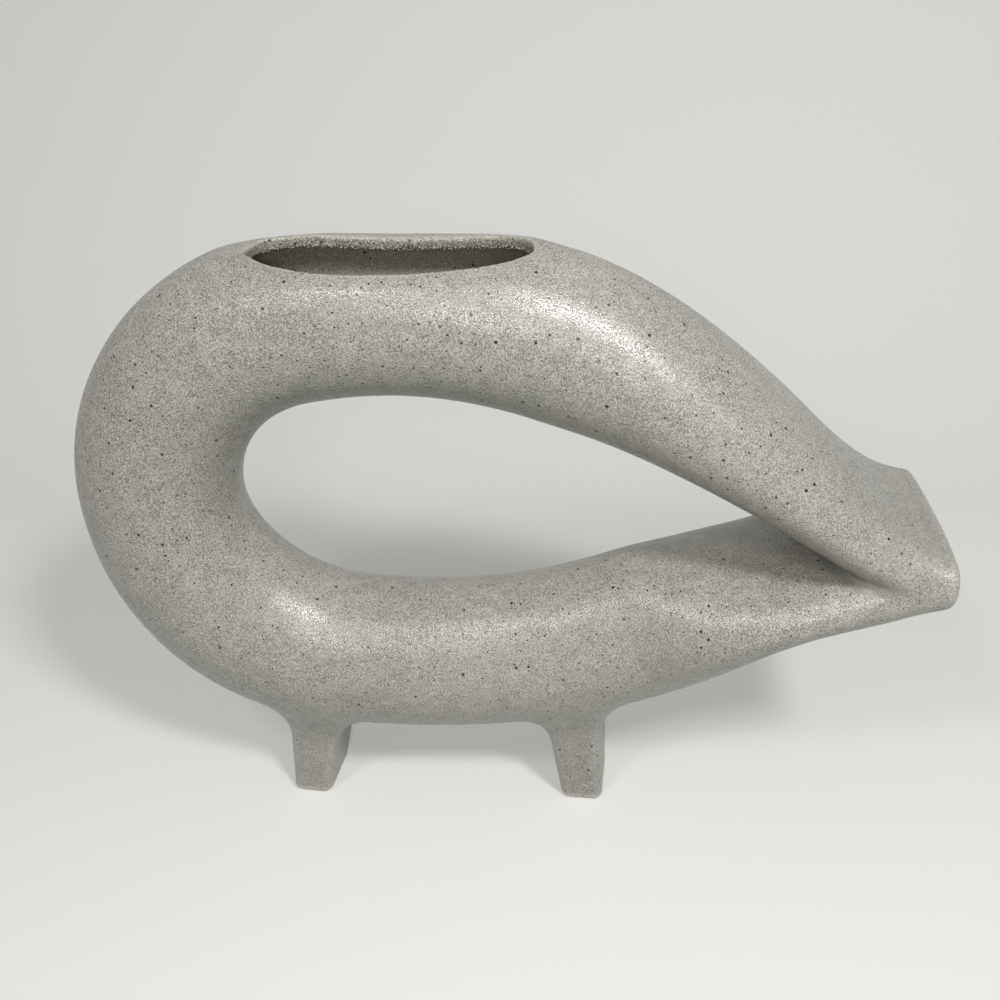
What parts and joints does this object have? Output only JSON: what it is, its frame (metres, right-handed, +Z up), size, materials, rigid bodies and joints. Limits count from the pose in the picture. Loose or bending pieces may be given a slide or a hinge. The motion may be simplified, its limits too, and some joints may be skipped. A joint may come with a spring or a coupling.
{
  "type": "stoneware vase",
  "caption": "Hollow stoneware loop vase with a teardrop hole, a flat pinched tail, a long boat-shaped mouth on top and two slab feet.",
  "frame": {"origin": "on the table under the middle of the vase's box, between the feet", "axes": "+Z up, +X from the round end of the loop towards the tail, Y across the loop"},
  "size_m": [0.3092, 0.078, 0.2286],
  "materials": {
    "stoneware": "satin speckled glaze over grey stoneware"
  },
  "bodies": {
    "root": {"front_shell": "stoneware", "back_shell": "stoneware", "tail": "stoneware", "mouth_rim": "stoneware", "left_foot": "stoneware", "right_foot": "stoneware"}
  },
  "joints": []
}
